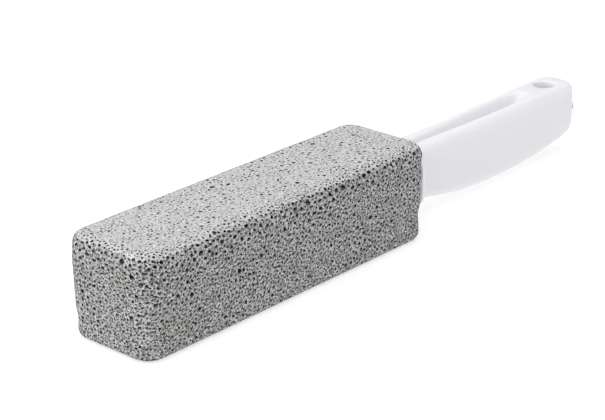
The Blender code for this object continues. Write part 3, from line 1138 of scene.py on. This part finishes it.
def fill_rings(rings, extra=(), flip=False):
    """Fills between the first ring and the others."""
    numbers = [k for ring in rings for k in ring] + list(extra)
    local = {number: k for k, number in enumerate(numbers)}
    plan = [(shell[number][0], shell[number][1]) for number in numbers]
    rings = [[local[k] for k in ring] for ring in rings]
    for face in fill_plan(plan, rings, rings[1:]):
        corners = [numbers[k] for k in face]
        shell_faces.append(tuple(reversed(corners)) if flip else tuple(corners))


belly_points = []
for x in evenly(0, REACH, round(REACH / BELLY_GRID))[1:-3]:
    reach = line_at(HALF_WIDTH_LINE, x) - RIM
    for y in [row * reach for row in BELLY_ROWS]:
        if math.hypot(x - HOLE_X, y) > HOLE_RADIUS + HOLE_MARGIN:
            belly_points.append(put(crowned(x, y, belly_at(x))))
fill_rings([outside[-1], trough[0], hole[0]])
fill_rings([outside[0], hole[-1]], belly_points, flip=True)
fill_rings([trough[-1]])
print(len(belly_points), "points let the belly bend")

# %% [markdown]
# ## The flange and the gate nub
# A thin flange round the handle's root seats on the stone's end, and a small nub is left on the tip where
# the plastic entered the mould. Both are closed stacks of rings that overlap the rest, as parts of one
# moulding may.

# %% Add the flange
FLANGE_HALF_WIDTH, FLANGE_LOW, FLANGE_TOP = 14.4 * MM, 9.1 * MM, 27.0 * MM
FLANGE_THICKNESS, FLANGE_CORNER, FLANGE_EDGE = 1.5 * MM, 4.6 * MM, 0.35 * MM
FLANGE_SHIFT = 0.05 * MM
FLANGE_CORNER_SIDES, FLANGE_EDGE_STEPS = 8, 4


def close_stack(rings):
    """Joins rings that run anticlockwise, seen from beyond the last one, and closes both ends."""
    for low, high in zip(rings, rings[1:]):
        join_rings(high, low)
    shell_faces.append(tuple(rings[-1]))
    shell_faces.append(tuple(reversed(rings[0])))


def flange_ring(x, inset):
    middle, half_height = (FLANGE_TOP + FLANGE_LOW) / 2, (FLANGE_TOP - FLANGE_LOW) / 2
    ring = []
    for across, up, first in ((1, 1, 0), (-1, 1, 1), (-1, -1, 2), (1, -1, 3)):
        for turn in evenly(first * math.pi / 2, (first + 1) * math.pi / 2, FLANGE_CORNER_SIDES):
            y = across * (FLANGE_HALF_WIDTH - FLANGE_CORNER) + (FLANGE_CORNER - inset) * math.cos(turn)
            z = middle + up * (half_height - FLANGE_CORNER) + (FLANGE_CORNER - inset) * math.sin(turn)
            ring.append(put((ROOT_X + x, y, z)))
    return ring


flange = [flange_ring(FLANGE_SHIFT, 0)]
for reach, rise in quarter(FLANGE_EDGE, FLANGE_EDGE_STEPS):
    flange.append(flange_ring(FLANGE_THICKNESS - rise, reach))
close_stack(flange)
print("a flange of", len(flange), "rings")

# %% [markdown]
# The nub sits on the round of the tip, so its rings are stood on the outward direction at that turn.

# %% Add the nub
NUB_RADIUS = 1.3 * MM
NUB_Z = 17.4 * MM
NUB_TURN = math.radians(-48)
NUB_RINGS = ((-0.3, 1.0), (0.2, 1.0), (0.34, 0.9), (0.4, 0.7))
NUB_SIDES = 16

nub_out = np.array((math.cos(NUB_TURN), math.sin(NUB_TURN), 0))
nub_side = np.array((-math.sin(NUB_TURN), math.cos(NUB_TURN), 0))
nub_foot = np.array((ROOT_X + REACH - TIP_RADIUS, 0, NUB_Z)) + nub_out * TIP_RADIUS


def nub_ring(out, share):
    """A ring of the nub, so many mm out from the tip, with a share of its full radius."""
    middle, reach = nub_foot + nub_out * out * MM, NUB_RADIUS * share
    ring = []
    for turn in [math.tau * k / NUB_SIDES for k in range(NUB_SIDES)]:
        ring.append(put(middle + nub_side * reach * math.cos(turn) + (0, 0, reach * math.sin(turn))))
    return ring


nub = [nub_ring(out, share) for out, share in NUB_RINGS]
close_stack(nub)
print("a nub of", len(nub), "rings")

# %% [markdown]
# ## The handle's finish
# White plastic lets light in and out again, which softens its shadows, so some of its colour is subsurface.
# A faint cloud in the roughness keeps the sheen from looking computed.

# %% Plastic material and the handle
CLOUD_PER_METRE, CLOUD_DETAIL = 60.0, 3.0
CLOUD_SWING, PLASTIC_ROUGHNESS = 0.12, 0.34
PLASTIC_WHITE = (0.735, 0.73, 0.755)
PLASTIC_IOR = 1.49
SCATTER_WEIGHT = 0.7
SCATTER_MM = (5.0, 5.0, 5.3)
HANDLE_SHARP = math.radians(40)

plastic_recipe = Recipe("white moulded plastic")
place = plastic_recipe.node("ShaderNodeTexCoord", output=3)
cloudy = {"Vector": place, "Scale": CLOUD_PER_METRE, "Detail": CLOUD_DETAIL}
cloud = plastic_recipe.node("ShaderNodeTexNoise", None, cloudy)
plastic_recipe.set(base_color=PLASTIC_WHITE, roughness=cloud * CLOUD_SWING + PLASTIC_ROUGHNESS)
plastic_recipe.shader.inputs["IOR"].default_value = PLASTIC_IOR
plastic_recipe.shader.inputs["Subsurface Weight"].default_value = SCATTER_WEIGHT
plastic_recipe.shader.inputs["Subsurface Radius"].default_value = SCATTER_MM
plastic_recipe.shader.inputs["Subsurface Scale"].default_value = MM

handle = piece_from("moulded_handle", shell, shell_faces, plastic_recipe, "handle")
handle.data.shade_smooth()
handle.data.set_sharp_from_angle(angle=HANDLE_SHARP)
